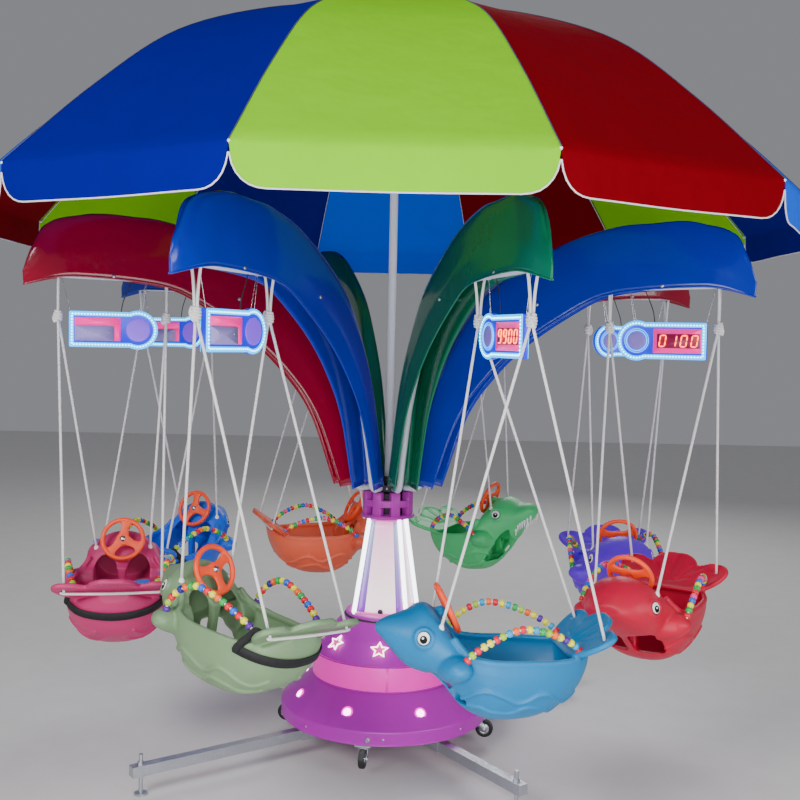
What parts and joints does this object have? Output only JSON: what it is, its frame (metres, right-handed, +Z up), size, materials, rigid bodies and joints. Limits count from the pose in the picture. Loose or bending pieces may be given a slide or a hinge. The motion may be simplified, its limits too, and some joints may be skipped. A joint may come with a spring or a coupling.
{
  "type": "chair swing ride",
  "caption": "Small fairground swing ride: animal seats on ropes hang from a turning crown of curved arms over a lit base, under a sun umbrella.",
  "frame": {"origin": "on the ground under the turning axis", "axes": "+Z up along the turning axis; -Y is the front, where the picture's camera stands; +X is to the right"},
  "size_m": [3.3074, 3.3074, 3.168],
  "materials": {
    "pink": "gloss enamel",
    "steel": "zinc plated",
    "paint": "satin enamel",
    "rope": "braided nylon",
    "orange": "moulded",
    "band_light": "lit translucent acrylic",
    "column_light": "lit translucent acrylic",
    "sign": "lit panel",
    "canopy": "coated woven polyester",
    "arm_red": "glass fibre gel coat",
    "arm_blue": "glass fibre gel coat",
    "arm_green": "glass fibre gel coat",
    "caster": "zinc plated",
    "seat_shell_1": "rotomoulded, satin",
    "seat_shell_2": "rotomoulded, satin",
    "seat_shell_3": "rotomoulded, satin",
    "seat_shell_4": "rotomoulded, satin",
    "seat_shell_5": "rotomoulded, satin",
    "seat_shell_6": "rotomoulded, satin",
    "seat_shell_7": "rotomoulded, satin",
    "seat_shell_8": "rotomoulded, satin"
  },
  "bodies": {
    "base": {"base_frame": "paint", "base_cover": "pink", "light_band": "band_light", "upper_cone": "pink", "column_frame": "column_light", "column_panels": "column_light"},
    "rotor": {"crown": "pink", "umbrella_pole": "steel", "umbrella_ribs": "steel", "umbrella_canopy": "canopy", "arm_frame": "paint", "arm_cover_1": "arm_red", "arm_cover_2": "arm_blue", "arm_cover_3": "arm_green", "arm_cover_4": "arm_blue", "arm_cover_5": "arm_red", "arm_cover_6": "arm_blue", "arm_cover_7": "arm_green", "arm_cover_8": "arm_blue", "sign_1": "sign", "sign_2": "sign", "sign_3": "sign", "sign_4": "sign", "sign_5": "sign", "sign_6": "sign", "sign_7": "sign", "sign_8": "sign"},
    "swing_1": {"seat_1": "seat_shell_1", "ropes_1": "rope"},
    "wheel_1": {"steering_wheel_1": "orange"},
    "swing_2": {"seat_2": "seat_shell_2", "ropes_2": "rope"},
    "wheel_2": {"steering_wheel_2": "orange"},
    "swing_3": {"seat_3": "seat_shell_3", "ropes_3": "rope"},
    "wheel_3": {"steering_wheel_3": "orange"},
    "swing_4": {"seat_4": "seat_shell_4", "ropes_4": "rope"},
    "wheel_4": {"steering_wheel_4": "orange"},
    "swing_5": {"seat_5": "seat_shell_5", "ropes_5": "rope"},
    "wheel_5": {"steering_wheel_5": "orange"},
    "swing_6": {"seat_6": "seat_shell_6", "ropes_6": "rope"},
    "wheel_6": {"steering_wheel_6": "orange"},
    "swing_7": {"seat_7": "seat_shell_7", "ropes_7": "rope"},
    "wheel_7": {"steering_wheel_7": "orange"},
    "swing_8": {"seat_8": "seat_shell_8", "ropes_8": "rope"},
    "wheel_8": {"steering_wheel_8": "orange"},
    "outrigger_body_1": {"outrigger_1": "steel"},
    "outrigger_body_2": {"outrigger_2": "steel"},
    "outrigger_body_3": {"outrigger_3": "steel"},
    "outrigger_body_4": {"outrigger_4": "steel"},
    "caster_body_1": {"caster_1": "caster"},
    "caster_body_2": {"caster_2": "caster"},
    "caster_body_3": {"caster_3": "caster"},
    "caster_body_4": {"caster_4": "caster"}
  },
  "joints": [
    {"name": "rotor_spin", "type": "hinge", "parent": "base", "child": "rotor", "pos_m": [0, 0, 0.965], "axis": [0, 0, 1], "continuous": true},
    {"name": "swing_1_swing", "type": "hinge", "parent": "rotor", "child": "swing_1", "pos_m": [-1.09184, -0.36109, 1.94909], "axis": [-0.9492, -0.3139, 0.02], "range_deg": [-15, 15]},
    {"name": "swing_2_swing", "type": "hinge", "parent": "rotor", "child": "swing_2", "pos_m": [-0.51672, -1.02738, 1.94909], "axis": [-0.4492, -0.8932, 0.02], "range_deg": [-15, 15]},
    {"name": "swing_3_swing", "type": "hinge", "parent": "rotor", "child": "swing_3", "pos_m": [0.36109, -1.09184, 1.94909], "axis": [0.3139, -0.9492, 0.02], "range_deg": [-15, 15]},
    {"name": "swing_4_swing", "type": "hinge", "parent": "rotor", "child": "swing_4", "pos_m": [1.02738, -0.51672, 1.94909], "axis": [0.8932, -0.4492, 0.02], "range_deg": [-15, 15]},
    {"name": "swing_5_swing", "type": "hinge", "parent": "rotor", "child": "swing_5", "pos_m": [1.09184, 0.36109, 1.94909], "axis": [0.9492, 0.3139, 0.02], "range_deg": [-15, 15]},
    {"name": "swing_6_swing", "type": "hinge", "parent": "rotor", "child": "swing_6", "pos_m": [0.51672, 1.02738, 1.94909], "axis": [0.4492, 0.8932, 0.02], "range_deg": [-15, 15]},
    {"name": "swing_7_swing", "type": "hinge", "parent": "rotor", "child": "swing_7", "pos_m": [-0.36109, 1.09184, 1.94909], "axis": [-0.3139, 0.9492, 0.02], "range_deg": [-15, 15]},
    {"name": "swing_8_swing", "type": "hinge", "parent": "rotor", "child": "swing_8", "pos_m": [-1.02738, 0.51672, 1.94909], "axis": [-0.8932, 0.4492, 0.02], "range_deg": [-15, 15]},
    {"name": "wheel_1_turn", "type": "hinge", "parent": "swing_1", "child": "wheel_1", "pos_m": [-1.09411, -0.18244, 0.881], "axis": [0.1633, -0.8988, 0.4067], "continuous": true},
    {"name": "wheel_2_turn", "type": "hinge", "parent": "swing_2", "child": "wheel_2", "pos_m": [-0.59423, -0.89067, 0.91965], "axis": [0.7462, -0.5627, 0.3557], "continuous": true},
    {"name": "wheel_3_turn", "type": "hinge", "parent": "swing_3", "child": "wheel_3", "pos_m": [0.20032, -1.09556, 0.85472], "axis": [0.8928, 0.1059, 0.4378], "continuous": true},
    {"name": "wheel_4_turn", "type": "hinge", "parent": "swing_4", "child": "wheel_4", "pos_m": [0.89968, -0.66884, 0.87955], "axis": [0.4853, 0.7276, 0.4848], "continuous": true},
    {"name": "wheel_5_turn", "type": "hinge", "parent": "swing_5", "child": "wheel_5", "pos_m": [1.03909, 0.18642, 0.86543], "axis": [0.0291, 0.9063, 0.4216], "continuous": true},
    {"name": "wheel_6_turn", "type": "hinge", "parent": "swing_6", "child": "wheel_6", "pos_m": [0.54115, 1.00545, 0.90724], "axis": [-0.7958, 0.4886, 0.3579], "continuous": true},
    {"name": "wheel_7_turn", "type": "hinge", "parent": "swing_7", "child": "wheel_7", "pos_m": [-0.18779, 1.1467, 0.82563], "axis": [-0.8357, -0.285, 0.4694], "continuous": true},
    {"name": "wheel_8_turn", "type": "hinge", "parent": "swing_8", "child": "wheel_8", "pos_m": [-0.95893, 0.66591, 0.87478], "axis": [-0.3695, -0.8574, 0.3583], "continuous": true},
    {"name": "outrigger_1_slide", "type": "slide", "parent": "base", "child": "outrigger_body_1", "axis": [-0.8241, -0.5664, 0], "range_m": [-0.23, 0.06]},
    {"name": "outrigger_2_slide", "type": "slide", "parent": "base", "child": "outrigger_body_2", "axis": [0.5664, -0.8241, 0], "range_m": [0, 0.29]},
    {"name": "outrigger_3_slide", "type": "slide", "parent": "base", "child": "outrigger_body_3", "axis": [0.8241, 0.5664, 0], "range_m": [-0.23, 0.06]},
    {"name": "outrigger_4_slide", "type": "slide", "parent": "base", "child": "outrigger_body_4", "axis": [-0.5664, 0.8241, 0], "range_m": [0, 0.29]},
    {"name": "caster_1_swivel", "type": "hinge", "parent": "base", "child": "caster_body_1", "pos_m": [-0.07508, -0.4051, 0.119], "axis": [0, 0, 1], "continuous": true},
    {"name": "caster_2_swivel", "type": "hinge", "parent": "base", "child": "caster_body_2", "pos_m": [0.4051, -0.07508, 0.119], "axis": [0, 0, 1], "continuous": true},
    {"name": "caster_3_swivel", "type": "hinge", "parent": "base", "child": "caster_body_3", "pos_m": [0.07508, 0.4051, 0.119], "axis": [0, 0, 1], "continuous": true},
    {"name": "caster_4_swivel", "type": "hinge", "parent": "base", "child": "caster_body_4", "pos_m": [-0.4051, 0.07508, 0.119], "axis": [0, 0, 1], "continuous": true}
  ],
  "couplings": [
    {"joint": "swing_2_swing", "follows": "swing_1_swing", "ratio": 1},
    {"joint": "swing_3_swing", "follows": "swing_1_swing", "ratio": 1},
    {"joint": "swing_4_swing", "follows": "swing_1_swing", "ratio": 1},
    {"joint": "swing_5_swing", "follows": "swing_1_swing", "ratio": 1},
    {"joint": "swing_6_swing", "follows": "swing_1_swing", "ratio": 1},
    {"joint": "swing_7_swing", "follows": "swing_1_swing", "ratio": 1},
    {"joint": "swing_8_swing", "follows": "swing_1_swing", "ratio": 1}
  ]
}
